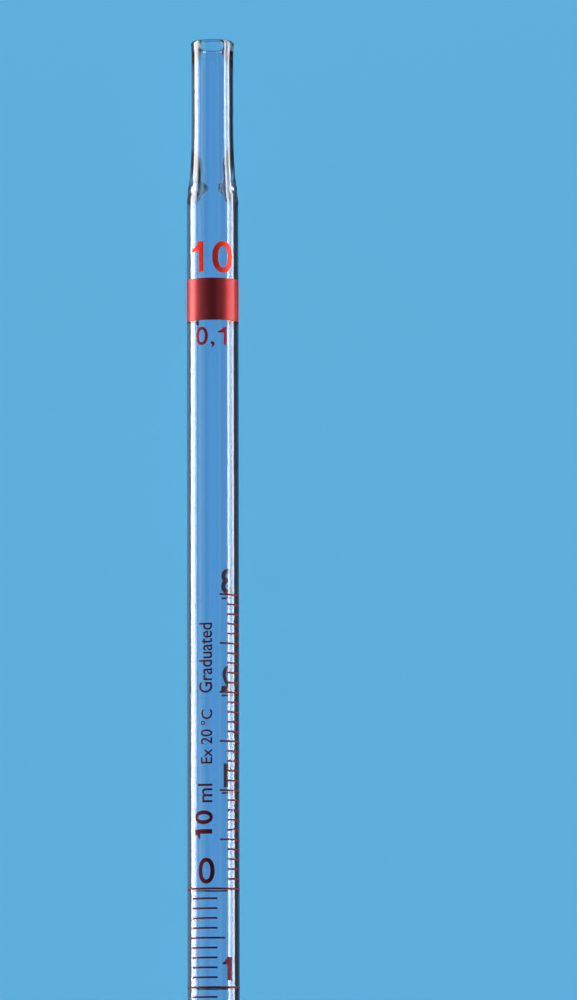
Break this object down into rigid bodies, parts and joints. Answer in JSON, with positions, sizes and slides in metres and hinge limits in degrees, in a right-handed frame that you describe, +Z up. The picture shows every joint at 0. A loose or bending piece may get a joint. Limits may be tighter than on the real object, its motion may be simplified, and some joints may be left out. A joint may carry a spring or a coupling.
{
  "type": "serological pipette",
  "caption": "Clear glass serological pipette lying on its side: slim mouthpiece, throat, graduated body with a red band and brown lines, tapered fire-polished tip.",
  "frame": {"origin": "centre of the bounding box's bottom face: on the floor, midway along the pipette", "axes": "+Y along the tube towards its mouth, +Z up from the floor through the front of the scale, +X to the scale's right"},
  "size_m": [0.0098, 0.36, 0.0099],
  "materials": {
    "clear_glass": "polished",
    "brown_stain": "gloss",
    "red_enamel": "gloss"
  },
  "bodies": {
    "root": {"glass_tube": "clear_glass", "colour_band": "red_enamel", "ring_line_0": "brown_stain", "ring_line_1": "brown_stain", "ring_line_2": "brown_stain", "ring_line_3": "brown_stain", "ring_line_4": "brown_stain", "ring_line_5": "brown_stain", "ring_line_6": "brown_stain", "ring_line_7": "brown_stain", "ring_line_8": "brown_stain", "ring_line_9": "brown_stain", "half_line_0_5": "brown_stain", "half_line_1_5": "brown_stain", "half_line_2_5": "brown_stain", "half_line_3_5": "brown_stain", "half_line_4_5": "brown_stain", "half_line_5_5": "brown_stain", "half_line_6_5": "brown_stain", "half_line_7_5": "brown_stain", "half_line_8_5": "brown_stain", "upper_line_1": "brown_stain", "upper_line_2": "brown_stain", "upper_line_3": "brown_stain", "upper_half_line_0_5": "brown_stain", "upper_half_line_1_5": "brown_stain", "upper_half_line_2_5": "brown_stain"}
  },
  "joints": []
}
